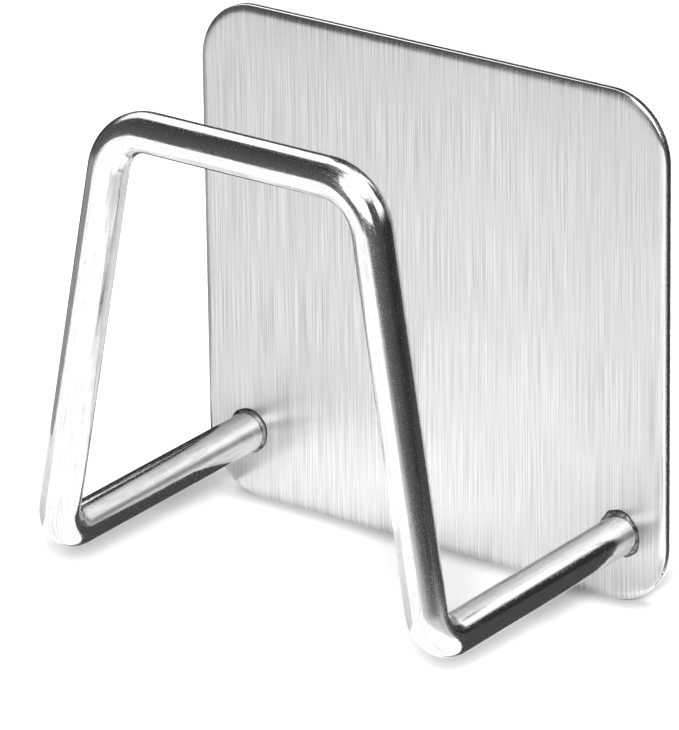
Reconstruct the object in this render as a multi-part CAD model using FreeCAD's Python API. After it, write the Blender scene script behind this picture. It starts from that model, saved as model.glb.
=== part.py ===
import FreeCAD, Part
import math
import os

# Sponge holder that sticks to a sink, tile or glass wall. A stainless plate carries one bent rod,
# and a sponge stands on the rod's two prongs, between the plate and the loop in front of it.
# The origin is the centre of the rear face, on the tape's liner. +Z is up and the front faces -Y.
# Lengths are in millimetres and angles in degrees.

# Plate, stamped from stainless sheet, with a front rim that falls back all round
plate_width = 56.0
plate_height = 51.5
plate_thickness = 0.8
plate_corner_radius = 6.5
rim_width = 1.0
rim_depth = 0.2

# Mounting tape, cut to the plate's outline and set in a little from it
tape_inset = 0.1
foam_thickness = 0.4
adhesive_thickness = 0.1
liner_thickness = 0.1

# Rod, bent into two prongs, two legs that lean together and a top bar. The two margins run from
# the plate's side and bottom edges to a prong's axis.
rod_diameter = 4.0
prong_side_margin = 5.2
prong_foot_margin = 7.0
prong_reach = 29.6
prong_droop = 3.0
loop_height = 43.1
loop_lean = 1.6
top_bar_length = 29.9
foot_bend_inner_radius = 1.2
top_bend_inner_radius = 3.2

# Weld bead round each prong where it meets the plate
weld_leg = 0.4
weld_crown_share = 0.62

# How far a piece that is trimmed runs past the trimming face
overrun = 1.0

# Tape layers from the wall forwards
tape_layers = (
    ("release_liner", liner_thickness),
    ("tape_adhesive_rear", adhesive_thickness),
    ("tape_foam", foam_thickness),
    ("tape_adhesive_front", adhesive_thickness),
)
tape_thickness = sum(thickness for name, thickness in tape_layers)
plate_rear = -tape_thickness
plate_front = plate_rear - plate_thickness
rod_radius = rod_diameter / 2
prong_x = plate_width / 2 - prong_side_margin
prong_z = prong_foot_margin - plate_height / 2


def outline(inset, depth):
    """Closed wire inside the plate's outline by the inset, at a depth along Y."""
    across = plate_width / 2 - plate_corner_radius
    up = plate_height / 2 - plate_corner_radius
    radius = plate_corner_radius - inset
    centres = [(across, up), (-across, up), (-across, -up), (across, -up)]
    arcs = []
    for quarter, (x, z) in enumerate(centres):
        points = []
        for turn_share in (0, 0.5, 1):
            angle = math.radians(90 * (quarter + turn_share))
            offset = FreeCAD.Vector(math.cos(angle), 0, math.sin(angle)) * radius
            points.append(FreeCAD.Vector(x, depth, z) + offset)
        arcs.append(points)
    edges = []
    for points, following in zip(arcs, arcs[1:] + arcs[:1]):
        edges.append(Part.Arc(*points).toShape())
        edges.append(Part.LineSegment(points[-1], following[0]).toShape())
    return Part.Wire(edges)


def slab(inset, rear, thickness):
    """Flat layer with the plate's outline, from its rear face forwards."""
    return Part.Face(outline(inset, rear)).extrude(FreeCAD.Vector(0, -thickness, 0))


def back_plate():
    """Sheet with a front rim that falls back from the flat face to the edge."""
    edge_front = plate_front + rim_depth
    body = slab(0, plate_rear, plate_thickness - rim_depth)
    rim = Part.makeLoft([outline(0, edge_front), outline(rim_width, plate_front)], True, True)
    return body.fuse(rim).removeSplitter()


def ahead_of_plate(shape):
    """What is left of a shape in front of the plate's face."""
    corner = FreeCAD.Vector(-plate_width, plate_front, -plate_height)
    behind = Part.makeBox(2 * plate_width, prong_reach, 2 * plate_height, corner)
    return shape.cut(behind)


def prong_line(side):
    """A prong's root on the plate's face and its foot at the loop, on the rod's axis."""
    drop = prong_reach * math.tan(math.radians(prong_droop))
    root = FreeCAD.Vector(side * prong_x, plate_front, prong_z)
    foot = root - FreeCAD.Vector(0, prong_reach, drop)
    return root, foot


def half_rod_points(side):
    """Corners of the rod's axis on one side, from inside the plate up to the top bar."""
    root, foot = prong_line(side)
    buried = overrun + rod_radius * math.tan(math.radians(prong_droop))
    start = root + (root - foot).normalize() * buried
    lean = loop_height * math.tan(math.radians(loop_lean))
    top = FreeCAD.Vector(side * top_bar_length / 2, foot.y + lean, foot.z + loop_height)
    return [start, foot, top]


def bent_path(points, bend_radii):
    """Straight runs between the points, joined by tangent arcs at the inner ones."""
    edges = []
    run_start = points[0]
    for before, corner, after, radius in zip(points, points[1:], points[2:], bend_radii):
        arriving = (corner - before).normalize()
        leaving = (after - corner).normalize()
        half_turn = arriving.getAngle(leaving) / 2
        tangent = radius * math.tan(half_turn)
        sagitta = radius / math.cos(half_turn) - radius
        arc_start = corner - arriving * tangent
        arc_middle = corner + (leaving - arriving).normalize() * sagitta
        arc_end = corner + leaving * tangent
        edges.append(Part.LineSegment(run_start, arc_start).toShape())
        edges.append(Part.Arc(arc_start, arc_middle, arc_end).toShape())
        run_start = arc_end
    edges.append(Part.LineSegment(run_start, points[-1]).toShape())
    return Part.Wire(edges)


def wire_loop():
    """One rod, from the left prong over the top bar to the right prong."""
    points = half_rod_points(-1) + half_rod_points(1)[::-1]
    foot_bend = rod_radius + foot_bend_inner_radius
    top_bend = rod_radius + top_bend_inner_radius
    path = bent_path(points, [foot_bend, top_bend, top_bend, foot_bend])
    section = Part.Circle(points[0], points[1] - points[0], rod_radius)
    rod = path.makePipeShell([Part.Wire(section.toShape())], True)
    return ahead_of_plate(rod)


def weld_bead(side):
    """Convex ring of weld metal in the corner between a prong and the plate."""
    root, foot = prong_line(side)
    along = (foot - root).normalize()

    def point(distance, radius):
        return root + along * distance + FreeCAD.Vector(radius, 0, 0)

    crown = weld_leg * weld_crown_share
    heel_inner = point(-overrun, rod_radius)
    heel_outer = point(-overrun, rod_radius + weld_leg)
    toe = point(0, rod_radius + weld_leg)
    tip = point(weld_leg, rod_radius)
    edges = [
        Part.LineSegment(heel_inner, heel_outer).toShape(),
        Part.LineSegment(heel_outer, toe).toShape(),
        Part.Arc(toe, point(crown, rod_radius + crown), tip).toShape(),
        Part.LineSegment(tip, heel_inner).toShape(),
    ]
    ring = Part.Face(Part.Wire(edges)).revolve(root, along, 360)
    return ahead_of_plate(ring)


def tape_pieces():
    """Each layer of the tape, stacked from the wall to the plate."""
    pieces = {}
    rear = 0
    for name, thickness in tape_layers:
        pieces[name] = slab(tape_inset, rear, thickness)
        rear -= thickness
    return pieces


nodes = {
    "back_plate": back_plate(),
    "wire_loop": wire_loop(),
    "weld_bead_left": weld_bead(-1),
    "weld_bead_right": weld_bead(1),
}
nodes.update(tape_pieces())

os.makedirs("parts", exist_ok=True)
for name, shape in nodes.items():
    shape.exportStep("parts/" + name + ".step")
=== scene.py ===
"""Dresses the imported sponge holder: brushed plate, polished rod loop, welds and peel-off tape."""

import logging
import math
import random
from dataclasses import dataclass, field
from enum import Enum
from typing import Any, Callable, Dict, Iterable, List, Optional, Sequence, Tuple, Union

import bpy
from mathutils import Matrix, Quaternion, Vector, noise


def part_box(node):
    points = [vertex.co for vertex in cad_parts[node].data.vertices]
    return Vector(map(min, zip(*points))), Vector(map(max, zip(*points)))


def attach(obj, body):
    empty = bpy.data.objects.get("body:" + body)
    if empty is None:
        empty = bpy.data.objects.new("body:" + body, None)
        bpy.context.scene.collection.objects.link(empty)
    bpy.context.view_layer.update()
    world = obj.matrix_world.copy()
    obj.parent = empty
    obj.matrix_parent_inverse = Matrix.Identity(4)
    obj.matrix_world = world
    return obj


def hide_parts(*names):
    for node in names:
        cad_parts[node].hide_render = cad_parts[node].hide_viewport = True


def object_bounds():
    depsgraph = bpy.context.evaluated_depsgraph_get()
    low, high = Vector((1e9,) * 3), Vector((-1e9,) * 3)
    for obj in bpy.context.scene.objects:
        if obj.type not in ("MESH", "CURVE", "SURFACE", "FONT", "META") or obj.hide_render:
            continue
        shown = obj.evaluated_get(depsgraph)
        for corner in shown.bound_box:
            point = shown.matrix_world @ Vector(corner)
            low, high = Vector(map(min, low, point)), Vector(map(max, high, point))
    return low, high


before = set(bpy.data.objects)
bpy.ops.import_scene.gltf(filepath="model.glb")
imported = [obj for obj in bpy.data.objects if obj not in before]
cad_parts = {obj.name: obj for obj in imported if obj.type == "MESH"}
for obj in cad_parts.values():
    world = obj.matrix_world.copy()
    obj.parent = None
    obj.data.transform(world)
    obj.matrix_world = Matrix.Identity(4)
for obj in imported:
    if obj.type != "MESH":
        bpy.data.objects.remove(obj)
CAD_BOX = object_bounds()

LOG = logging.getLogger("sponge_holder")

# Middle of a noise's range and of a tone
MIDDLE = 0.5

Item = bpy.types.Object
Colour = Tuple[float, float, float]
Place = Tuple[float, float, float]
Pair = Tuple[float, float]
Pitch = Union[float, Place]
Value = Union[float, int, "Signal"]
Sockets = Dict[Union[str, int], Any]

# Pitch and number of layers of a noise
Grain = Tuple[Pitch, float]


class Body(Enum):
    """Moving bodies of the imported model."""

    HOLDER = "holder"
    LINER = "liner"


class Slot(Enum):
    """Material slots of the record."""

    SHEET = "brushed_sheet"
    ROD = "polished_rod"
    WELD = "weld_metal"
    FOAM = "white_foam"
    ADHESIVE = "clear_adhesive"
    LINER = "liner_paper"


class Side(Enum):
    """Side of the holder seen from the front, as the sign of X."""

    LEFT = -1
    RIGHT = 1


class Signal:
    """Output socket of a shader node, on which Python's operators add Math nodes."""

    def __init__(self, graph: "ShaderGraph", socket: bpy.types.NodeSocket) -> None:
        """Keeps the socket and the graph that it belongs to."""
        self.graph = graph
        self.socket = socket

    def _math(self, operation: str, first: Value, second: Value = 0.0) -> "Signal":
        """Adds one Math node with its operation and its upper and lower input."""
        return self.graph.node("ShaderNodeMath", {"operation": operation}, {0: first, 1: second})

    def __add__(self, other: Value) -> "Signal":
        """Sum."""
        return self._math("ADD", self, other)

    def __sub__(self, other: Value) -> "Signal":
        """Difference."""
        return self._math("SUBTRACT", self, other)

    def __rsub__(self, other: Value) -> "Signal":
        """Difference from a number."""
        return self._math("SUBTRACT", other, self)

    def __mul__(self, other: Value) -> "Signal":
        """Product."""
        return self._math("MULTIPLY", self, other)

    def maximum(self, other: Value) -> "Signal":
        """The larger of two values."""
        return self._math("MAXIMUM", self, other)

    def ramp(self, low: float, high: float) -> "Signal":
        """Smooth step from 0 at low to 1 at high."""
        settings = {"interpolation_type": "SMOOTHSTEP"}
        return self.graph.node("ShaderNodeMapRange", settings, {0: self, 1: low, 2: high})


class ShaderGraph:
    """Node tree of a material or of the world, written as expressions."""

    def __init__(self, owner: Union[bpy.types.Material, bpy.types.World]) -> None:
        """Takes over the owner's node tree and empties it.

        Args:
            owner: Material or world.
        """
        owner.use_nodes = True
        self.tree = owner.node_tree
        self.tree.nodes.clear()

    def node(
        self,
        kind: str,
        settings: Optional[Dict[str, Any]] = None,
        sockets: Optional[Sockets] = None,
        output: Union[str, int] = 0,
    ) -> Signal:
        """Adds a node.

        Args:
            kind: Blender's name of the node's type.
            settings: Properties of the node, set before its sockets.
            sockets: Input sockets by name or number, each with a value or a Signal to link.
            output: Name or number of the output that is wanted.

        Returns:
            That output.
        """
        made = self.tree.nodes.new(kind)
        for key, value in (settings or {}).items():
            setattr(made, key, value)
        for key, value in (sockets or {}).items():
            if isinstance(value, Signal):
                self.tree.links.new(value.socket, made.inputs[key])
            else:
                made.inputs[key].default_value = value
        return Signal(self, made.outputs[output])

    def place(self) -> Signal:
        """Point on the piece in the frame's own metres."""
        return self.node("ShaderNodeTexCoord", output="Object")

    def attribute(self, name: str, output: str = "Fac") -> Signal:
        """Value that the mesh carries under a name."""
        return self.node("ShaderNodeAttribute", {"attribute_name": name}, output=output)

    def vector(self, operation: str, *vectors: Any, output: Union[str, int] = 0) -> Signal:
        """Adds one Vector Math node on vectors or Signals."""
        inputs: Sockets = dict(enumerate(vectors))
        return self.node("ShaderNodeVectorMath", {"operation": operation}, inputs, output)

    def stretch(self, point: Signal, pitch: Pitch) -> Signal:
        """Divides a point by a pitch, so that one unit of texture has that length."""
        return self.vector("DIVIDE", point, (pitch,) * 3 if isinstance(pitch, float) else pitch)

    def grain(self, point: Signal, pitch: Pitch, detail: float, roughness: float = 0.5) -> Signal:
        """Noise from 0 to 1.

        Args:
            point: Where it is taken.
            pitch: Length of one feature, the same on each axis or one for each.
            detail: Number of layers.
            roughness: Strength of each finer layer.

        Returns:
            The noise.
        """
        vector = self.stretch(point, pitch)
        sockets = {"Vector": vector, "Scale": 1.0, "Detail": detail, "Roughness": roughness}
        return self.node("ShaderNodeTexNoise", None, sockets)

    def cells(self, point: Signal, pitch: Pitch) -> Signal:
        """Distance to the nearest of scattered points, which lie about a pitch apart."""
        sockets: Sockets = {"Vector": self.stretch(point, pitch), "Scale": 1.0}
        return self.node("ShaderNodeTexVoronoi", None, sockets)

    def tint(self, share: Value, low: Union[Colour, Signal], high: Colour) -> Signal:
        """Colour between two colours.

        Args:
            share: Share of the second.
            low: First colour.
            high: Second colour.

        Returns:
            The colour.
        """
        first = low if isinstance(low, Signal) else (*low, 1.0)
        sockets: Sockets = {0: share, 6: first, 7: (*high, 1.0)}
        return self.node("ShaderNodeMix", {"data_type": "RGBA"}, sockets, output=2)

    def bump(self, height: Signal, depth: float, under: Optional[Signal] = None) -> Signal:
        """Normal of a surface with small relief.

        Args:
            height: Relief from 0 to 1.
            depth: Metres that 1 stands for.
            under: Normal of a coarser relief below this one.

        Returns:
            The new normal.
        """
        sockets: Sockets = {"Height": height, "Distance": depth}
        if under is not None:
            sockets["Normal"] = under
        return self.node("ShaderNodeBump", None, sockets)

    def seen(self) -> Signal:
        """1 where the camera sees a point straight, in a mirror or through glass, and else 0.

        Returns:
            That value.
        """
        rays = [
            self.node("ShaderNodeLightPath", output=kind)
            for kind in ("Is Camera Ray", "Is Glossy Ray", "Is Transmission Ray")
        ]
        return rays[0].maximum(rays[1]).maximum(rays[2])

    def surface(
        self, colour: Signal, roughness: Signal, normal: Signal, others: Optional[Sockets] = None
    ) -> None:
        """Ends a material in one Principled shader.

        Args:
            colour: Its base colour.
            roughness: Its roughness.
            normal: Its normal.
            others: Constants for other sockets.
        """
        sockets: Sockets = {"Base Color": colour, "Roughness": roughness, "Normal": normal}
        sockets.update(others or {})
        shader = self.node("ShaderNodeBsdfPrincipled", None, sockets)
        self.node_output("ShaderNodeOutputMaterial", shader)

    def one_sided(self, front: Signal) -> None:
        """Ends a material in a shader for the front of each face, with the back clear.

        Args:
            front: That shader.
        """
        clear = self.node("ShaderNodeBsdfTransparent")
        back = self.node("ShaderNodeNewGeometry", output="Backfacing")
        shader = self.node("ShaderNodeMixShader", None, {0: back, 1: front, 2: clear})
        self.node_output("ShaderNodeOutputMaterial", shader)

    def node_output(self, kind: str, shader: Signal) -> None:
        """Links a shader to the tree's output node."""
        end = self.tree.nodes.new(kind)
        self.tree.links.new(shader.socket, end.inputs["Surface"])


class Finish:
    """Base of the finishes: makes the material once and lets a finish fill its graph."""

    name = "finish"

    def fill(self, graph: ShaderGraph) -> None:
        """Adds the finish's nodes to an empty graph."""
        raise NotImplementedError

    def material(self) -> bpy.types.Material:
        """The finish's material, made on first use.

        Returns:
            The material.
        """
        found = bpy.data.materials.get(self.name)
        if found is None:
            found = bpy.data.materials.new(self.name)
            self.fill(ShaderGraph(found))
        return found


@dataclass(frozen=True)
class BrushedSheet(Finish):
    """Stainless sheet with upright brush lines, a smooth rim and torn side edges."""

    name: str = "brushed_stainless_sheet"
    line_low: Colour = (0.635, 0.635, 0.64)
    line_high: Colour = (0.985, 0.985, 0.99)
    hairs: Grain = ((0.00013, 1.0, 0.0108), 1.0)
    hair_weight: float = 2.5
    hair_relief: float = 0.5
    lines: Grain = ((0.00021, 1.0, 0.018), 2.0)
    line_weight: float = 0.8
    bands: Grain = ((0.0030, 1.0, 0.045), 1.0)
    band_weight: float = 0.2
    patches: Grain = ((0.0035, 1.0, 0.0075), 1.0)
    patch_span: Pair = (0.3, 0.7)
    patch_low: float = 0.65
    patch_gain: float = 0.65
    bare_rim: Pair = (0.7, 1.0)
    smooth_rim: Pair = (0.1, 0.9)
    base_roughness: float = 0.42
    line_roughness: float = 0.10
    rim_roughness: float = 0.14
    relief: float = 0.0000022
    anisotropy: float = 0.8
    torn: Colour = (0.16, 0.16, 0.165)
    tears: Grain = (0.00024, 3.0)
    tear_span: Pair = (0.40, 0.64)
    tear_roughness: float = 0.30
    tear_relief: float = 0.00002

    def fill(self, graph: ShaderGraph) -> None:
        """Adds brush lines of three widths, takes them off the rim and tears the side edges.

        Args:
            graph: The material's empty graph.
        """
        point = graph.place()
        hair, line = graph.grain(point, *self.hairs), graph.grain(point, *self.lines)
        band, patch = graph.grain(point, *self.bands), graph.grain(point, *self.patches)
        depth = patch.ramp(*self.patch_span) * self.patch_gain + self.patch_low
        fine = (hair - MIDDLE) * self.hair_weight + (line - MIDDLE) * self.line_weight
        strokes = fine * depth + (band - MIDDLE) * self.band_weight
        rim = graph.attribute("rim")
        tone = strokes * (1 - rim.ramp(*self.bare_rim)) + MIDDLE
        smooth = rim.ramp(*self.smooth_rim)
        rough = (tone * self.line_roughness + self.base_roughness) * (1 - smooth)
        rough = rough + smooth * self.rim_roughness
        torn = graph.grain(point, *self.tears).ramp(*self.tear_span) * graph.attribute("edge")
        brushed = graph.tint(tone, self.line_low, self.line_high)
        relief = graph.bump((hair * self.hair_relief + line) * (1 - rim), self.relief)
        graph.surface(
            graph.tint(torn, brushed, self.torn),
            rough + torn * self.tear_roughness,
            graph.bump(1 - torn, self.tear_relief, relief),
            {"Metallic": 1.0, "Anisotropic": self.anisotropy},
        )


@dataclass(frozen=True)
class PolishedRod(Finish):
    """Drawn rod, polished, with draw lines along it, small pits and rubs at the bends."""

    name: str = "polished_stainless_rod"
    metal: Colour = (0.82, 0.82, 0.825)
    dull: Colour = (0.50, 0.50, 0.51)
    draw: Grain = ((0.00010, 0.00010, 0.004), 2.0)
    draw_relief: float = 0.0000016
    peel: Grain = ((0.00010, 0.00010, 0.00020), 2.0)
    peel_relief: float = 0.0000016
    patches: Grain = (0.0021, 3.0)
    pit_pitch: Place = (0.00036, 0.00036, 0.000576)
    pit_size: Pair = (0.06, 0.26)
    pit_patches: Pair = (0.46, 0.62)
    pit_relief: float = 0.000005
    pit_dulls: float = 0.5
    pit_darkens: float = 0.4
    rub_lines: Pair = (0.45, 0.62)
    rub_dulls: float = 0.3
    rub_darkens: float = 0.2
    scuff_lines: Pair = (0.46, 0.72)
    scuff_skin: Pair = (0.48, 0.74)
    line_dulls: float = 0.4
    skin_dulls: float = 0.5
    streak_lines: Pair = (0.42, 0.66)
    streak_patches: Pair = (0.30, 0.60)
    streak_darkens: float = 0.5
    roughness: float = 0.10
    scuff_roughness: float = 0.32

    def fill(self, graph: ShaderGraph) -> None:
        """Adds draw lines, pits and rubbed bends on the straight bar's own coordinates.

        Args:
            graph: The material's empty graph.
        """
        bar = graph.attribute("bar", "Vector")
        draw, peel = graph.grain(bar, *self.draw), graph.grain(bar, *self.peel)
        patch, cells = graph.grain(bar, *self.patches), graph.cells(bar, self.pit_pitch)
        pits = (1 - cells.ramp(*self.pit_size)) * patch.ramp(*self.pit_patches)
        rubbed = graph.attribute("bend") * draw.ramp(*self.rub_lines)
        scuffs = draw.ramp(*self.scuff_lines) * self.line_dulls
        scuffs = scuffs + peel.ramp(*self.scuff_skin) * self.skin_dulls
        streaks = draw.ramp(*self.streak_lines) * patch.ramp(*self.streak_patches)
        dulled = pits * self.pit_dulls + rubbed * self.rub_dulls + scuffs
        darkened = streaks * self.streak_darkens + pits * self.pit_darkens
        relief = graph.bump(peel, self.peel_relief, graph.bump(draw, self.draw_relief))
        graph.surface(
            graph.tint(darkened + rubbed * self.rub_darkens, self.metal, self.dull),
            dulled * self.scuff_roughness + self.roughness,
            graph.bump(1 - pits, self.pit_relief, relief),
            {"Metallic": 1.0},
        )


@dataclass(frozen=True)
class WeldMetal(Finish):
    """Frozen weld metal, greyer than the rod, with a skin of scale."""

    name: str = "stainless_weld_metal"
    bright: Colour = (0.40, 0.398, 0.394)
    scale: Colour = (0.06, 0.059, 0.058)
    lumps: Grain = (0.00028, 3.0)
    lump_layers: float = 0.6
    skin: Grain = (0.000616, 2.0)
    skin_span: Pair = (0.46, 0.66)
    roughness: float = 0.28
    skin_roughness: float = 0.20
    lump_roughness: float = 0.15
    relief: float = 0.00004

    def fill(self, graph: ShaderGraph) -> None:
        """Adds a skin of scale, thickest at the toe, and small lumps.

        Args:
            graph: The material's empty graph.
        """
        point = graph.place()
        lumps = graph.grain(point, *self.lumps, self.lump_layers)
        skin = graph.grain(point, *self.skin).ramp(*self.skin_span)
        skin = skin.maximum(graph.attribute("toe"))
        graph.surface(
            graph.tint(skin, self.bright, self.scale),
            skin * self.skin_roughness + lumps * self.lump_roughness + self.roughness,
            graph.bump(lumps, self.relief),
            {"Metallic": 1.0},
        )


@dataclass(frozen=True)
class TapeFoam(Finish):
    """White closed-cell foam, cut so that its cells show at the edge, with painted shade in each
    cell's hollow.
    """

    name: str = "white_foam_tape"
    skin: Colour = (0.88, 0.88, 0.87)
    cell_hollow_shade: Colour = (0.66, 0.66, 0.65)
    cell_pitch: float = 0.00011
    cell_span: Pair = (0.10, 0.55)
    cell_share: float = 0.6
    mottle: Grain = (0.00154, 2.0)
    mottle_share: float = 0.4
    roughness: float = 0.8
    mottle_roughness: float = 0.15
    relief: float = 0.00003

    def fill(self, graph: ShaderGraph) -> None:
        """Adds cut cells, darker in their hollows as painted shade, and a faint mottle.

        Args:
            graph: The material's empty graph.
        """
        point = graph.place()
        cells = graph.cells(point, self.cell_pitch).ramp(*self.cell_span)
        mottle = graph.grain(point, *self.mottle)
        # Painted shade: the colour darkens towards each cell's middle, where the relief is lowest.
        pale = cells * self.cell_share + mottle * self.mottle_share
        graph.surface(
            graph.tint(pale, self.cell_hollow_shade, self.skin),
            mottle * self.mottle_roughness + self.roughness,
            graph.bump(cells, self.relief),
        )


@dataclass(frozen=True)
class ClearAdhesive(Finish):
    """Clear acrylic coat with a grey colour that is painted shade, seen as a glossy grey line at
    the tape's edge.
    """

    name: str = "clear_acrylic_adhesive"
    thin_coat_shade: Colour = (0.80, 0.80, 0.78)
    thick_coat_shade: Colour = (0.66, 0.66, 0.64)
    flow: Grain = (0.0011, 3.0)
    flow_span: Pair = (0.35, 0.65)
    roughness: float = 0.10
    flow_roughness: float = 0.12
    coat: float = 0.5
    relief: float = 0.00002

    def fill(self, graph: ShaderGraph) -> None:
        """Adds uneven thickness and a wet gloss.

        Args:
            graph: The material's empty graph.
        """
        flow = graph.grain(graph.place(), *self.flow)
        # The grey is painted shade of the narrow gap between sheet and foam; the flow varies it
        # with the coat's thickness.
        graph.surface(
            graph.tint(flow.ramp(*self.flow_span), self.thin_coat_shade, self.thick_coat_shade),
            flow * self.flow_roughness + self.roughness,
            graph.bump(flow, self.relief),
            {"Coat Weight": self.coat},
        )


@dataclass(frozen=True)
class LinerPaper(Finish):
    """Waxed release paper, off-white, with fibres and a faint cockle."""

    name: str = "waxed_release_paper"
    pale: Colour = (0.90, 0.895, 0.875)
    fibre: Colour = (0.80, 0.79, 0.765)
    across: Grain = ((0.0011, 1.0, 0.00012), 2.0)
    upright: Grain = ((0.00012, 1.0, 0.0011), 2.0)
    fibre_span: Pair = (0.45, 0.75)
    fibre_share: float = 0.5
    fibre_relief: float = 0.000006
    clouds: Grain = (0.0033, 3.0)
    cloud_share: float = 0.5
    cloud_roughness: float = 0.2
    roughness: float = 0.38
    cockle: Grain = (0.011, 1.0)
    cockle_relief: float = 0.00009

    def fill(self, graph: ShaderGraph) -> None:
        """Adds crossing fibres, cloudy formation and a faint cockle.

        Args:
            graph: The material's empty graph.
        """
        point = graph.place()
        across, upright = graph.grain(point, *self.across), graph.grain(point, *self.upright)
        cloud, cockle = graph.grain(point, *self.clouds), graph.grain(point, *self.cockle)
        fibres = across.maximum(upright).ramp(*self.fibre_span)
        shade = fibres * self.fibre_share + cloud * self.cloud_share
        graph.surface(
            graph.tint(shade, self.pale, self.fibre),
            cloud * self.cloud_roughness + self.roughness,
            graph.bump(fibres, self.fibre_relief, graph.bump(cockle, self.cockle_relief)),
        )


@dataclass(frozen=True)
class StudioFloor(Finish):
    """White studio sheet with the holder's shadow and painted shade in the crease under it.

    Away from the holder its own glow takes over and it turns plain white. At the plate's foot the
    glow gives way, which is painted shade along the foot. The spans are distances in metres: from
    the middle of the holder or, for the foot's, in front of and behind the wall.
    """

    name: str = "studio_sheet"
    white: Colour = (0.93, 0.93, 0.93)
    roughness: float = 0.6
    gloss: float = 0.3
    glow: float = 1.5
    middle: Place = (0.0, -0.018, 0.0)
    near_share: float = 0.06
    far_share: float = 0.5
    share_span: Pair = (0.030, 0.040)
    white_span: Pair = (0.030, 0.045)
    # Painted shade along the plate's foot: the glow gives way near the wall's line.
    painted_foot_span: Pair = (0.0015, 0.011)
    painted_foot_shade: float = 0.42
    # Painted shade in the crease: ambient occlusion within the reach turns the sheet's colour
    # towards this grey.
    crease: Colour = (0.5, 0.5, 0.5)
    painted_shade_reach: float = 0.0034
    painted_shade_span: Pair = (0.5, 0.92)
    painted_shade_samples: int = 8

    def fill(self, graph: ShaderGraph) -> None:
        """Adds the lit sheet with painted crease shade and mixes in its glow, least at the foot as
        painted shade.

        Args:
            graph: The material's empty graph.
        """
        point = graph.place()
        aside = graph.vector("SUBTRACT", point, self.middle)
        flat = graph.vector("MULTIPLY", aside, (1.0, 1.0, 0.0))
        away = graph.vector("LENGTH", flat, output="Value")
        # Painted shade: ambient occlusion darkens the sheet's colour where the holder stands close.
        clear = graph.node(
            "ShaderNodeAmbientOcclusion",
            {"samples": self.painted_shade_samples},
            {"Distance": self.painted_shade_reach},
            output="AO",
        )
        sockets = {
            "Base Color": graph.tint(clear.ramp(*self.painted_shade_span), self.crease, self.white),
            "Roughness": self.roughness,
            "Specular IOR Level": self.gloss,
        }
        lit = graph.node("ShaderNodeBsdfPrincipled", None, sockets)
        glow = graph.node("ShaderNodeEmission", None, {"Strength": self.glow})
        straight = graph.node("ShaderNodeLightPath", output="Is Camera Ray")
        spared = (1 - away.ramp(*self.share_span)) * (self.far_share - self.near_share)
        added = away.ramp(*self.white_span) * (1 - self.far_share)
        # Painted shade along the plate's foot: less glow within the span of the wall's line.
        depth = graph.node("ShaderNodeSeparateXYZ", None, {0: point}, output="Y")
        off_wall = depth.maximum(depth * -1)
        foot_shade = (1 - off_wall.ramp(*self.painted_foot_span)) * self.painted_foot_shade
        share = graph.seen() * (self.far_share - foot_shade) + straight * (added - spared)
        graph.one_sided(graph.node("ShaderNodeMixShader", None, {0: share, 1: lit, 2: glow}))


@dataclass(frozen=True)
class StudioPanel(Finish):
    """Light or dark card that the polished metal mirrors from one side."""

    name: str = "studio_panel"
    second_mirror: Pair = (1.2, 1.8)

    def fill(self, graph: ShaderGraph) -> None:
        """Adds a front that glows as the mesh says and a clear back.

        A shy card turns white where it is mirrored by way of a second surface.

        Args:
            graph: The material's empty graph.
        """
        glow = graph.attribute("glow")
        again = graph.node("ShaderNodeLightPath", output="Ray Depth").ramp(*self.second_mirror)
        strength = glow + again * graph.attribute("shy") * (1 - glow)
        graph.one_sided(graph.node("ShaderNodeEmission", None, {"Strength": strength}))


class MeshSheet:
    """Vertices and faces of one piece while it is being built."""

    def __init__(self) -> None:
        """Starts empty."""
        self.points: List[Vector] = []
        self.faces: List[Tuple[int, ...]] = []
        self.values: Dict[str, List[Any]] = {}

    def ring(self, points: Iterable[Vector], **values: Sequence[Any]) -> List[int]:
        """Adds a closed row of points.

        Args:
            points: The points in order.
            values: For each named attribute, its value at each point.

        Returns:
            The points' numbers.
        """
        first = len(self.points)
        self.points.extend(points)
        for key, row in values.items():
            self.values.setdefault(key, []).extend(row)
        return list(range(first, len(self.points)))

    def skin(self, rings: Sequence[Sequence[int]]) -> None:
        """Joins each closed row to the next by a band of quads.

        Args:
            rings: The rows in order, all with the same count.
        """
        for one, other in zip(rings, rings[1:]):
            for here in range(len(one)):
                after = (here + 1) % len(one)
                self.faces.append((one[here], one[after], other[after], other[here]))

    def cap(self, ring: Sequence[int]) -> None:
        """Closes a row with one face."""
        self.faces.append(tuple(ring))

    def close(self, rings: Sequence[Sequence[int]]) -> None:
        """Joins closed rows and caps the first and the last.

        Args:
            rings: The rows in order.
        """
        self.skin(rings)
        self.cap(rings[0][::-1])
        self.cap(rings[-1])

    def piece(self, name: str, finish: Finish, crease: float = 35.0) -> Item:
        """Makes the Blender object.

        Args:
            name: Name of the piece.
            finish: What its surface is.
            crease: Edges sharper than this many degrees stay sharp.

        Returns:
            The object, in the scene.
        """
        mesh = bpy.data.meshes.new(name)
        mesh.from_pydata([tuple(point) for point in self.points], [], self.faces)
        for key, row in self.values.items():
            wide = not isinstance(row[0], float)
            store = mesh.attributes.new(key, "FLOAT_VECTOR" if wide else "FLOAT", "POINT")
            flat = [part for item in row for part in item] if wide else row
            store.data.foreach_set("vector" if wide else "value", flat)
        mesh.validate()
        mesh.shade_smooth()
        mesh.set_sharp_from_angle(angle=math.radians(crease))
        mesh.materials.append(finish.material())
        made = bpy.data.objects.new(name, mesh)
        bpy.context.scene.collection.objects.link(made)
        return made


def settle(piece: Item, body: Body, slot: Slot, *nodes: str) -> Item:
    """Puts a finished piece on its body in place of CAD nodes.

    Args:
        piece: The finished object.
        body: Body that carries it.
        slot: Record's slot for its finish; not used.
        nodes: CAD nodes that it stands for.

    Returns:
        The piece.
    """
    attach(piece, body.value)
    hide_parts(*nodes)
    LOG.info("%s: %d faces on %s", piece.name, len(piece.data.polygons), body.value)
    return piece


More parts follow.
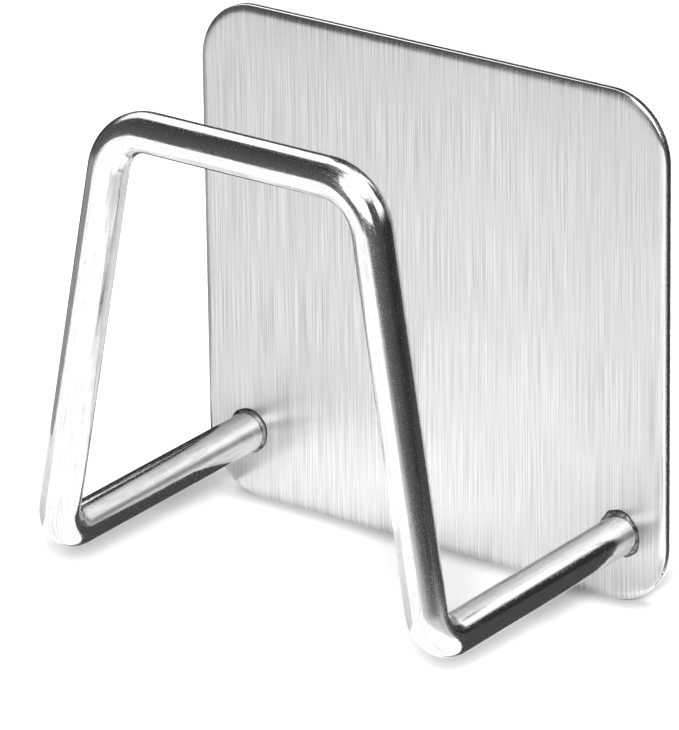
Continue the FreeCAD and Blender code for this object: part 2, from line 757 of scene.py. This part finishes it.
@dataclass(frozen=True)
class RoundedOutline:
    """Upright rectangle with round corners, centred on the plate."""

    width: float
    height: float
    corner_radius: float
    corner_steps: int = 24
    edge_steps: int = 40

    def points(self, inset: float, depth: float) -> List[Vector]:
        """Closed row of points inside the outline, counter-clockwise seen from the front.

        Args:
            inset: Distance inside the outline.
            depth: Place along Y.

        Returns:
            The points.
        """
        across = self.width / 2 - self.corner_radius
        up = self.height / 2 - self.corner_radius
        radius = self.corner_radius - inset
        corners = [(across, up), (-across, up), (-across, -up), (across, -up)]
        row: List[Vector] = []
        for quarter, (x, z) in enumerate(corners):
            for step in range(self.corner_steps + 1):
                angle = math.pi / 2 * (quarter + step / self.corner_steps)
                offset = Vector((math.cos(angle), 0, math.sin(angle))) * radius
                row.append(Vector((x, depth, z)) + offset)
        closed: List[Vector] = []
        run = self.corner_steps + 1
        for place, point in enumerate(row):
            closed.append(point)
            if place % run == run - 1:
                after = row[(place + 1) % len(row)]
                for step in range(1, self.edge_steps):
                    closed.append(point.lerp(after, step / self.edge_steps))
        return closed


def eased(corners: Sequence[Pair], cuts: Sequence[float], steps: int) -> List[Pair]:
    """Profile with eased corners.

    Args:
        corners: Points of the sharp profile.
        cuts: Distance that each inner corner's curve starts and ends from it.
        steps: Pieces in each curve.

    Returns:
        Points of the eased profile.
    """
    line = [corners[0]]
    for before, corner, after, cut in zip(corners, corners[1:], corners[2:], cuts):
        middle = Vector(corner)
        start = middle + (Vector(before) - middle).normalized() * cut
        end = middle + (Vector(after) - middle).normalized() * cut
        for step in range(steps + 1):
            share = step / steps
            point = start.lerp(middle, share).lerp(middle.lerp(end, share), share)
            line.append((point.x, point.y))
    line.append(corners[-1])
    return line


@dataclass
class BackPlate:
    """Stamped sheet whose front rim falls back all round to a sheared edge."""

    node: str = "back_plate"
    corner_radius: float = 0.0065
    rim_width: float = 0.0010
    rim_depth: float = 0.00022
    edge_ease: float = 0.00016
    rear_ease: float = 0.00005
    face_support: float = 0.0016
    torn_margin: float = 0.0015
    roll_steps: int = 5
    ease_steps: int = 8
    finish: BrushedSheet = field(default_factory=BrushedSheet)

    def __post_init__(self) -> None:
        """Takes the sheet's box from the frame."""
        self.low, self.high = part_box(self.node)

    @property
    def front(self) -> float:
        """Place of the face along Y."""
        return self.low.y

    def outline(self) -> RoundedOutline:
        """The sheet's outline."""
        size = self.high - self.low
        return RoundedOutline(size.x, size.z, self.corner_radius)

    def profile(self) -> List[Pair]:
        """Insets and depths from the face over the rim and the edge to the rear.

        Returns:
            The pairs.
        """
        thickness = self.high.y - self.low.y
        shares = [step / self.roll_steps for step in range(self.roll_steps + 1)]
        roll = [(self.rim_width * (1 - share), self.rim_depth * share**2) for share in shares]
        corners = roll[-2:] + [(0.0, thickness), (self.face_support, thickness)]
        edge = eased(corners, (self.edge_ease, self.rear_ease), self.ease_steps)
        return [(self.face_support, 0.0)] + roll[:-2] + edge

    def build(self) -> Item:
        """Makes the sheet's mesh and dresses it.

        Returns:
            The piece.
        """
        sheet, outline = MeshSheet(), self.outline()
        torn_side = self.high.x - self.torn_margin
        rings = []
        for inset, depth in self.profile():
            row = outline.points(inset, self.front + depth)
            fall = min(1.0, depth / self.rim_depth)
            edge = [float(depth > self.rim_depth and abs(point.x) > torn_side) for point in row]
            rings.append(sheet.ring(row, rim=[math.sqrt(fall)] * len(row), edge=edge))
        sheet.close(rings)
        piece = sheet.piece("plate_sheet", self.finish, crease=50.0)
        return settle(piece, Body.HOLDER, Slot.SHEET, self.node)


@dataclass
class Station:
    """One place along the rod's axis."""

    centre: Vector
    along: Vector
    travel: float
    bend: float
    outward: Vector


@dataclass
class WireLoop:
    """One rod bent into two prongs, two legs that lean together and a top bar."""

    plate: BackPlate
    node: str = "wire_loop"
    diameter: float = 0.004
    side_margin: float = 0.0052
    foot_margin: float = 0.0070
    reach: float = 0.0296
    droop: float = math.radians(3.0)
    loop_height: float = 0.0431
    lean: float = math.radians(1.6)
    top_bar: float = 0.0299
    foot_bend_radius: float = 0.0032
    top_bend_radius: float = 0.0052
    buried: float = 0.0003
    run_step: float = 0.0005
    turn_step: float = math.radians(3.0)
    sides: int = 72
    flattening: float = 0.025
    waviness: float = 0.0000022
    wave_pitch: float = 0.0024
    end_bend: float = 0.5
    least_turns: int = 4
    finish: PolishedRod = field(default_factory=PolishedRod)

    @property
    def radius(self) -> float:
        """Half of the rod's diameter."""
        return self.diameter / 2

    def root(self, side: Side) -> Vector:
        """Where a prong's axis meets the plate's face."""
        x = (self.plate.high.x - self.side_margin) * side.value
        return Vector((x, self.plate.front, self.plate.low.z + self.foot_margin))

    def foot(self, side: Side) -> Vector:
        """Corner of the axis below a leg."""
        drop = self.reach * math.tan(self.droop)
        return self.root(side) - Vector((0, self.reach, drop))

    def half(self, side: Side) -> List[Vector]:
        """Corners of the axis on one side, from inside the plate up to the top bar.

        Args:
            side: Which side.

        Returns:
            The three corners.
        """
        root, foot = self.root(side), self.foot(side)
        start = root + (root - foot).normalized() * self.buried
        back = self.loop_height * math.tan(self.lean)
        top = Vector((self.top_bar / 2 * side.value, foot.y + back, foot.z + self.loop_height))
        return [start, foot, top]

    def stations(self) -> List[Station]:
        """Places along the axis, close together on the bends and even on the runs.

        Returns:
            The stations from the left root to the right one.
        """
        corners = self.half(Side.LEFT) + self.half(Side.RIGHT)[::-1]
        rising = [self.foot_bend_radius, self.top_bend_radius]
        radii = rising + rising[::-1]
        made: List[Station] = []
        start, travel = corners[0], 0.0
        for before, corner, after, radius in zip(corners, corners[1:], corners[2:], radii):
            arriving = (corner - before).normalized()
            leaving = (after - corner).normalized()
            turn = arriving.angle(leaving)
            tangent = radius * math.tan(turn / 2)
            travel = self._run(made, start, corner - arriving * tangent, travel)
            travel = self._turn(made, corner, arriving, leaving, radius, travel)
            start = corner + leaving * tangent
        self._run(made, start, corners[-1], travel, closed=True)
        return made

    def _run(
        self, made: List[Station], start: Vector, end: Vector, travel: float, closed: bool = False
    ) -> float:
        """Adds a straight run's stations.

        Args:
            made: Stations so far.
            start: Start of the run.
            end: End of the run.
            travel: Length of rod before it.
            closed: Whether the run's end gets a station.

        Returns:
            Length of rod at its end.
        """
        span = end - start
        along, length = span.normalized(), span.length
        count = max(1, round(length / self.run_step))
        for step in range(count + int(closed)):
            share = step / count
            near = min(share, 1 - share) * length
            bend = max(0.0, 1 - near / self.diameter) ** 2 * self.end_bend
            centre = start + span * share
            made.append(Station(centre, along, travel + length * share, bend, Vector()))
        return travel + length

    def _turn(
        self,
        made: List[Station],
        corner: Vector,
        arriving: Vector,
        leaving: Vector,
        radius: float,
        travel: float,
    ) -> float:
        """Adds a bend's stations.

        Args:
            made: Stations so far.
            corner: Where the runs beside the bend would meet.
            arriving: Direction of the run before.
            leaving: Direction of the run after.
            radius: Radius of the axis.
            travel: Length of rod before it.

        Returns:
            Length of rod at its end.
        """
        turn = arriving.angle(leaving)
        axis = arriving.cross(leaving).normalized()
        start = corner - arriving * radius * math.tan(turn / 2)
        inward = axis.cross(arriving)
        hub = start + inward * radius
        count = max(self.least_turns, round(turn / self.turn_step))
        for step in range(count):
            share = step / count
            spin = Quaternion(axis, turn * share)
            swell = math.sin(math.pi * share)
            bend = self.end_bend + (1 - self.end_bend) * swell
            outward = spin @ -inward
            centre, along = hub + outward * radius, spin @ arriving
            gone = travel + radius * turn * share
            made.append(Station(centre, along, gone, bend, outward * swell))
        return travel + radius * turn

    def build(self) -> Item:
        """Sweeps the rod's section along its axis and dresses it.

        Returns:
            The piece.
        """
        sheet = MeshSheet()
        stations = self.stations()
        side = stations[0].along.orthogonal().normalized()
        rings = []
        for place, station in enumerate(stations):
            if place:
                side = stations[place - 1].along.rotation_difference(station.along) @ side
            side = (side - station.along * side.dot(station.along)).normalized()
            rings.append(self._section(sheet, station, side))
        sheet.close(rings)
        piece = sheet.piece("rod_loop", self.finish, crease=60.0)
        return settle(piece, Body.HOLDER, Slot.ROD, self.node)

    def _section(self, sheet: MeshSheet, station: Station, side: Vector) -> List[int]:
        """Adds one section of the rod.

        Args:
            sheet: Mesh to add to.
            station: Where the section is.
            side: Direction of the section's first point.

        Returns:
            The section's points.
        """
        other = station.along.cross(side)
        row, bar = [], []
        for step in range(self.sides):
            angle = 2 * math.pi * step / self.sides
            out = side * math.cos(angle) + other * math.sin(angle)
            unrolled = Vector((math.cos(angle), math.sin(angle), 0)) * self.radius
            unrolled.z = station.travel
            wave = noise.noise(unrolled / self.wave_pitch) * self.waviness
            squeeze = max(0.0, out.dot(station.outward)) ** 2 * self.flattening
            row.append(station.centre + out * (self.radius * (1 - squeeze) + wave - self.waviness))
            bar.append(tuple(unrolled))
        return sheet.ring(row, bar=bar, bend=[station.bend] * self.sides)


@dataclass
class WeldBead:
    """Ring of weld metal in the corner between a prong and the plate."""

    loop: WireLoop
    side: Side
    node: str
    leg: float
    raggedness: float
    seed: int
    sunk: float = 0.00012
    steps: int = 96
    crown_steps: int = 7
    crown_power: float = 0.8
    wave_counts: Tuple[int, ...] = (1, 2, 3, 5, 7, 11)
    wave_sizes: Pair = (0.3, 1.0)
    wander_gain: float = 1.6
    tip_lag: float = 2.1
    scale_rows: Tuple[float, ...] = (0.0, 1.0, 1.0, 1.0, 0.7, 0.3)
    finish: WeldMetal = field(default_factory=WeldMetal)

    def wander(self) -> Callable[[float], float]:
        """Smooth random swing round the ring.

        Returns:
            Function of the angle, about -1 to 1.
        """
        draw = random.Random(self.seed)
        waves = [
            (count, draw.uniform(*self.wave_sizes) / math.sqrt(count), draw.uniform(0, 2 * math.pi))
            for count in self.wave_counts
        ]
        gain = self.wander_gain / sum(size for _, size, _ in waves)
        return lambda angle: gain * sum(s * math.sin(c * angle + p) for c, s, p in waves)

    def build(self) -> Item:
        """Makes the bead's closed ring, with scale on the rows at its toe, and dresses it.

        Returns:
            The piece.
        """
        sheet, swing = MeshSheet(), self.wander()
        root, foot = self.loop.root(self.side), self.loop.foot(self.side)
        along = (foot - root).normalized()
        across = Vector((1, 0, 0))
        up = across.cross(along)
        rows = []
        for step in range(self.steps):
            angle = 2 * math.pi * step / self.steps
            out = across * math.cos(angle) + up * math.sin(angle)
            toe = self.leg * (1 + self.raggedness * swing(angle))
            tip = self.leg * (1 + self.raggedness * swing(angle + self.tip_lag))
            rows.append(self._profile(root, along, out, toe, tip))
        scale = dict(enumerate(self.scale_rows))
        rings = []
        for place, points in enumerate(zip(*rows)):
            rings.append(sheet.ring(points, toe=[scale.get(place, 0.0)] * self.steps))
        sheet.skin(rings + rings[:1])
        piece = sheet.piece("weld_" + self.side.name.lower(), self.finish, crease=55.0)
        return settle(piece, Body.HOLDER, Slot.WELD, self.node)

    def _profile(
        self, root: Vector, along: Vector, out: Vector, toe: float, tip: float
    ) -> List[Vector]:
        """Section of the bead at one angle, from inside the plate round to inside the rod.

        Args:
            root: Where the prong's axis meets the plate.
            along: Direction of the prong.
            out: Direction away from the axis.
            toe: How far the bead reaches over the plate.
            tip: How far it climbs the rod.

        Returns:
            The section's points.
        """
        radius = self.loop.radius
        base = root + along * (-out.y / along.y * radius)
        inner, outer = radius - self.sunk, radius + toe
        points = [base + out * inner - along * self.sunk, base + out * outer - along * self.sunk]
        for step in range(self.crown_steps + 1):
            share = step / self.crown_steps * math.pi / 2
            reach = radius + toe * (1 - math.sin(share)) ** self.crown_power
            climb = tip * (1 - math.cos(share)) ** self.crown_power
            points.append(base + out * reach + along * climb)
        points.append(base + out * inner + along * tip)
        return points


@dataclass
class TapeLayer:
    """One layer of the mounting tape, cut a little inside the plate's outline."""

    node: str
    name: str
    slot: Slot
    finish: Finish
    bulge: float
    ragged: float
    body: Body = Body.HOLDER
    corner_radius: float = 0.0064
    corner_steps: int = 16
    edge_steps: int = 90
    edge_rows: int = 5
    ragged_pitch: float = 0.0009
    face_inset: float = 0.0032

    def build(self) -> Item:
        """Makes the layer's mesh and dresses it.

        Returns:
            The piece.
        """
        low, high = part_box(self.node)
        size, radius = high - low, self.corner_radius
        outline = RoundedOutline(size.x, size.z, radius, self.corner_steps, self.edge_steps)
        sheet, rings = MeshSheet(), []
        for row in range(self.edge_rows + 1):
            share = row / self.edge_rows
            depth = low.y + size.y * share
            hollow = self.bulge * (1 - math.sin(math.pi * share))
            rings.append(sheet.ring(self._cut(outline, hollow, depth)))
        face = sheet.ring(outline.points(self.face_inset, low.y))
        rear = sheet.ring(outline.points(self.face_inset, high.y))
        sheet.close([face] + rings + [rear])
        piece = sheet.piece(self.name, self.finish, crease=40.0)
        return settle(piece, self.body, self.slot, self.node)

    def _cut(self, outline: RoundedOutline, inset: float, depth: float) -> List[Vector]:
        """Row of points along the cut edge, pulled in a little by the knife.

        Args:
            outline: The layer's outline.
            inset: Distance inside it.
            depth: Place along Y.

        Returns:
            The points.
        """
        row = []
        for point in outline.points(inset, depth):
            swing = MIDDLE + MIDDLE * noise.noise(point / self.ragged_pitch)
            inward = Vector((-point.x, 0, -point.z)).normalized()
            row.append(point + inward * self.ragged * swing)
        return row


@dataclass
class MountingTape:
    """Foam tape behind the plate: two adhesive coats, the foam and the peel-off liner."""

    coat: ClearAdhesive = field(default_factory=ClearAdhesive)
    foam: TapeFoam = field(default_factory=TapeFoam)
    paper: LinerPaper = field(default_factory=LinerPaper)
    coat_cut: Pair = (0.00002, 0.00003)
    foam_cut: Pair = (0.00004, 0.00004)
    paper_cut: Pair = (0.00001, 0.00001)

    def layers(self) -> List[TapeLayer]:
        """The layers from the plate to the wall, each cut with its own bulge and raggedness.

        Returns:
            The layers.
        """
        glue = (Slot.ADHESIVE, self.coat, *self.coat_cut)
        paper = (Slot.LINER, self.paper, *self.paper_cut, Body.LINER)
        return [
            TapeLayer("tape_adhesive_front", "adhesive_on_plate", *glue),
            TapeLayer("tape_foam", "foam_core", Slot.FOAM, self.foam, *self.foam_cut),
            TapeLayer("tape_adhesive_rear", "adhesive_for_wall", *glue),
            TapeLayer("release_liner", "liner_sheet", *paper),
        ]

    def build(self) -> List[Item]:
        """Makes each layer.

        Returns:
            The pieces from the plate to the wall.
        """
        made = [layer.build() for layer in self.layers()]
        return made


def aim(azimuth: float, elevation: float) -> Vector:
    """Direction away from the holder, with azimuth 0 in front of the plate and 90 degrees right."""
    flat = math.cos(elevation)
    return Vector((math.sin(azimuth) * flat, -math.cos(azimuth) * flat, math.sin(elevation)))


@dataclass(frozen=True)
class Viewpoint:
    """Camera of the main view, with angles round the holder as seen from above and the side."""

    azimuth: float = math.radians(38.58)
    elevation: float = math.radians(20.87)
    roll: float = math.radians(-0.84)
    distance: float = 0.65541
    target: Place = (-0.01118, -0.0015, -0.00916)
    focal_pixels: float = 6696.03
    long_side_pixels: int = 730
    sensor: float = 36.0
    clip_near: float = 0.05
    clip_far: float = 40.0

    def build(self) -> Item:
        """Makes the camera and gives it to the scene.

        Returns:
            The camera.
        """
        back = aim(self.azimuth, self.elevation)
        right = Vector((0, 0, 1)).cross(back).normalized()
        up = back.cross(right)
        turned_right = right * math.cos(self.roll) + up * math.sin(self.roll)
        turned_up = up * math.cos(self.roll) - right * math.sin(self.roll)
        lens = bpy.data.cameras.new("main_camera")
        lens.sensor_width = self.sensor
        lens.lens = self.focal_pixels * self.sensor / self.long_side_pixels
        lens.clip_start = self.distance * self.clip_near
        lens.clip_end = self.distance * self.clip_far
        camera = bpy.data.objects.new("main_camera", lens)
        turn = Matrix((turned_right, turned_up, back)).transposed().to_4x4()
        camera.matrix_world = Matrix.Translation(Vector(self.target) + back * self.distance) @ turn
        bpy.context.scene.collection.objects.link(camera)
        bpy.context.scene.camera = camera
        return camera


def hang(name: str, sheet: MeshSheet) -> Item:
    """Puts a studio card in the scene for mirrored rays alone.

    Args:
        name: Name of the card.
        sheet: Its mesh, with its glow at each point.

    Returns:
        The card.
    """
    card = sheet.piece(name, StudioPanel())
    for kind in ("camera", "diffuse", "transmission", "volume_scatter", "shadow"):
        setattr(card, "visible_" + kind, False)
    return card


@dataclass(frozen=True)
class DomeCard:
    """Part of a dome round the holder, with angles in degrees.

    Azimuth 0 is in front of the plate and 90 to its right. The glow is given at the low left, low
    right, high left and high right, and falls to the edge's over the fade, an angle inside each
    edge of the card.
    """

    name: str
    azimuth: Pair
    elevation: Pair
    radius: float
    glow: Tuple[float, float, float, float]
    fade: float = 0.0
    edge_glow: float = 0.1
    open_top: bool = False
    step: float = 3.0

    def build(self, centre: Vector) -> Item:
        """Makes the card round a centre.

        Args:
            centre: Middle of the dome.

        Returns:
            The card.
        """
        around, rise = self._spread(self.azimuth), self._spread(self.elevation)
        sheet = MeshSheet()
        rows = []
        for high in rise:
            aims = [aim(math.radians(turn), math.radians(high)) for turn in around]
            glow = [self._glow(turn, high) for turn in around]
            rows.append(sheet.ring((centre + away * self.radius for away in aims), glow=glow))
        for low_row, high_row in zip(rows, rows[1:]):
            for left in range(len(around) - 1):
                right = left + 1
                sheet.cap((low_row[left], high_row[left], high_row[right], low_row[right]))
        return hang(self.name, sheet)

    def _spread(self, span: Pair) -> List[float]:
        """Angles across a span, no further apart than a step."""
        count = max(1, math.ceil(abs(span[1] - span[0]) / self.step))
        return [span[0] + (span[1] - span[0]) * place / count for place in range(count + 1)]

    def _glow(self, turn: float, high: float) -> float:
        """Glow at one place.

        Args:
            turn: Its azimuth.
            high: Its elevation.

        Returns:
            The glow.
        """
        across = (turn - self.azimuth[0]) / (self.azimuth[1] - self.azimuth[0])
        up = (high - self.elevation[0]) / (self.elevation[1] - self.elevation[0])
        low_left, low_right, high_left, high_right = self.glow
        low = low_left + (low_right - low_left) * across
        glow = low + (high_left + (high_right - high_left) * across - low) * up
        if not self.fade:
            return glow
        inside = min(turn - self.azimuth[0], self.azimuth[1] - turn, high - self.elevation[0])
        if not self.open_top:
            inside = min(inside, self.elevation[1] - high)
        share = min(1.0, inside / self.fade)
        return self.edge_glow + (glow - self.edge_glow) * share * share * (3 - 2 * share)


@dataclass(frozen=True)
class FlatCard:
    """Flat card with its corners in metres above the floor, seen counter-clockwise.

    The glow is given once for the whole card or at each corner.
    """

    name: str
    corners: Tuple[Place, ...]
    glow: Tuple[float, ...]
    shy: bool = False

    def build(self, ground: float) -> Item:
        """Makes the card over a floor.

        Args:
            ground: Height of the floor.

        Returns:
            The card.
        """
        sheet = MeshSheet()
        points = [Vector(corner) + Vector((0, 0, ground)) for corner in self.corners]
        glow = self.glow * len(points) if len(self.glow) == 1 else self.glow
        shy = [float(self.shy)] * len(points)
        sheet.cap(sheet.ring(points, glow=glow, shy=shy))
        return hang(self.name, sheet)


@dataclass(frozen=True)
class SoftLamp:
    """Square lamp that aims at the holder and that the metal doesn't mirror."""

    name: str
    power: float
    size: float
    place: Place

    def build(self) -> None:
        """Hangs the lamp."""
        lamp = bpy.data.lights.new(self.name, "AREA")
        lamp.energy, lamp.size = self.power, self.size
        hung = bpy.data.objects.new(self.name, lamp)
        hung.location = self.place
        hung.rotation_euler = (-Vector(self.place)).to_track_quat("-Z", "Y").to_euler()
        bpy.context.scene.collection.objects.link(hung)
        hung.visible_camera = False
        hung.visible_glossy = False


@dataclass
class Studio:
    """Pale floor, soft light and the cards that give the polished metal its bands."""

    lamps: Tuple[SoftLamp, ...] = (
        SoftLamp("soft_key", power=17.2, size=0.30, place=(0.494, -0.732, 0.470)),
        SoftLamp("soft_top", power=0.2, size=0.06, place=(0.0, 0.035, 0.50)),
        SoftLamp("soft_rear", power=3.5, size=0.90, place=(0.30, 0.80, 0.42)),
    )
    floor_size: float = 12.0
    background: float = 1.0
    fill_light: float = 0.36
    card_lift: float = 0.0001
    card_far: float = 0.30
    card_back: float = 0.012
    dark: float = 0.075
    grey: float = 0.35
    pale: float = 0.82
    edge: float = 0.85
    foot_fade: Tuple[float, ...] = (0.8, 0.45, 1.0, 1.0)
    far_fade: Tuple[float, ...] = (0.20, 0.16, 0.03, 0.05)

    def build(self) -> None:
        """Makes the floor, the lamps, the world and the cards."""
        bpy.context.scene.view_settings.view_transform = "Standard"
        ground = CAD_BOX[0].z
        self._floor(ground)
        for lamp in self.lamps:
            lamp.build()
        self._world()
        middle = Vector((0, (CAD_BOX[0].y + CAD_BOX[1].y) / 2, ground))
        for dome_card in self.dome_cards():
            dome_card.build(middle)
        for flat_card in self.flat_cards():
            flat_card.build(ground)

    def _floor(self, ground: float) -> None:
        """Lays the studio sheet.

        Args:
            ground: Height of the floor.
        """
        half, sheet = self.floor_size / 2, MeshSheet()
        corners = [(-half, -half), (half, -half), (half, half), (-half, half)]
        sheet.cap(sheet.ring(Vector((x, y, ground)) for x, y in corners))
        floor = sheet.piece("studio_floor", StudioFloor())

    def _world(self) -> None:
        """Makes the background white for what is seen or mirrored, and a soft fill otherwise."""
        world = bpy.data.worlds.new("studio_world")
        bpy.context.scene.world = world
        graph = ShaderGraph(world)
        strength = graph.seen() * (self.background - self.fill_light) + self.fill_light
        glow = graph.node("ShaderNodeBackground", None, {"Strength": strength})
        graph.node_output("ShaderNodeOutputWorld", glow)

    def dome_cards(self) -> List[DomeCard]:
        """Dark cards all round, darker ones low behind, and the soft boxes inside them.

        Returns:
            The cards.
        """
        return [
            DomeCard("dark_left", (-100, 20), (0, 88), 0.30, (0.12, 0.14, 0.01, 0.01)),
            DomeCard("dark_right", (20, 100), (0, 88), 0.30, (0.16, 0.03, 0.02, 0.02)),
            DomeCard("dark_rear", (100, 260), (0, 29), 0.30, (0.03,) * 4),
            DomeCard("dark_rear_left", (180, 221), (30, 62), 0.28, (0.05,) * 4),
            DomeCard("dark_rear_low", (180, 230), (18, 34), 0.275, (0.05,) * 4),
            DomeCard(
                "soft_box_rear", (88, 272), (24, 88), 0.29, (1.8,) * 4, fade=12.0, open_top=True
            ),
            DomeCard("soft_box_front", (-10, 52), (18, 68), 0.28, (4.0,) * 4, fade=10.0),
            DomeCard("soft_box_bend", (0, 104), (48, 88), 0.278, (2.0,) * 4, fade=8.0),
        ]

    def flat_cards(self) -> List[FlatCard]:
        """Cards on the floor and upright ones beside the holder. Strips under the prongs and a card
        before the plate's lower right corner are painted shade of the floor there.

        Returns:
            The cards.
        """
        dark, edge, lift = self.dark, self.edge, self.card_lift
        far, back = self.card_far, self.card_back
        left = ((-far, -far), (-0.128, -0.106), (-0.062, -0.031), (-0.040, back), (-far, back))
        beside = ((-0.050, -0.010), (-0.031, -0.006), (-0.031, back), (-0.050, back))
        # Dark strips under the prongs: painted shade of the floor there, which the prongs mirror.
        foot, height = (-0.042, -0.022), (lift, 0.013)
        painted_shade_strip_right = (
            (0.0213, -0.0285, lift),
            (0.0266, -0.0285, 0.0066),
            (0.0266, -0.0030, 0.0066),
            (0.0213, -0.0110, lift),
        )
        painted_shade_strip_left = (
            (-0.0262, -0.0285, lift),
            (-0.0180, -0.0285, 0.0055),
            (-0.0180, -0.0095, 0.0055),
            (-0.0225, -0.0025, 0.0025),
            (-0.0262, -0.0016, lift),
        )
        return [
            self._laid("card_left", left, self.grey),
            self._mat("card_far_right", (0.15, far), (-far, back), *self.far_fade),
            self._mat("card_fade_right", (0.04, 0.15), (-far, back), edge, dark, dark, edge),
            self._mat("card_behind", (-far, far), (back, far), dark),
            self._laid("card_beside_left", beside, dark),
            self._upright("card_beside_foot", (-0.045, -0.030), (-0.022,) * 2, (lift, 0.008), dark),
            self._upright("card_outside_foot", (-0.0335,) * 2, foot, height, *self.foot_fade),
            self._upright("card_inside_foot", (0.0115,) * 2, foot, height, *self.foot_fade),
            # Grey card before the plate's lower right corner: painted shade of the floor there,
            # which the rim mirrors.
            self._mat("painted_shade_corner_right", (0.0175, 0.0295), (-0.0125, -0.0030), self.pale),
            self._mat("card_beside_right", (0.0295, 0.060), (-0.001, back), dark),
            self._upright("card_behind_corner", (0.022, 0.050), (0.015,) * 2, (0.050, 0.090), dark),
            # Painted shade of the floor under the prongs, seen only in the prongs' mirror.
            FlatCard("painted_shade_under_right", painted_shade_strip_right, (dark,), shy=True),
            FlatCard("painted_shade_under_left", painted_shade_strip_left, (dark,), shy=True),
        ]

    def _laid(self, name: str, corners: Sequence[Pair], *glow: float) -> FlatCard:
        """Card on the floor."""
        return FlatCard(name, tuple((x, y, self.card_lift) for x, y in corners), glow)

    def _mat(self, name: str, x: Pair, y: Pair, *glow: float) -> FlatCard:
        """Rectangle on the floor, with its glow from the near left corner round."""
        return self._laid(name, ((x[0], y[0]), (x[1], y[0]), (x[1], y[1]), (x[0], y[1])), *glow)

    @staticmethod
    def _upright(name: str, x: Pair, y: Pair, z: Pair, *glow: float) -> FlatCard:
        """Rectangle over a line on the floor, with its glow from the low start round.

        Args:
            name: Name of the card.
            x: The line's start and end along X.
            y: The line's start and end along Y.
            z: Its low and high edge.
            glow: Its glow everywhere or at each corner.

        Returns:
            The card.
        """
        start, end = zip(x, y)
        corners = ((*start, z[0]), (*end, z[0]), (*end, z[1]), (*start, z[1]))
        return FlatCard(name, corners, glow)


def main() -> None:
    """Builds the holder piece by piece, then the studio."""
    logging.basicConfig(level=logging.INFO, format="%(message)s")
    plate = BackPlate()
    plate.build()
    loop = WireLoop(plate)
    loop.build()
    welds = (
        WeldBead(loop, Side.LEFT, "weld_bead_left", leg=0.00034, raggedness=0.25, seed=11),
        WeldBead(loop, Side.RIGHT, "weld_bead_right", leg=0.00036, raggedness=0.50, seed=5),
    )
    for weld in welds:
        weld.build()
    MountingTape().build()
    Viewpoint().build()
    Studio().build()


if __name__ == "__main__":
    main()
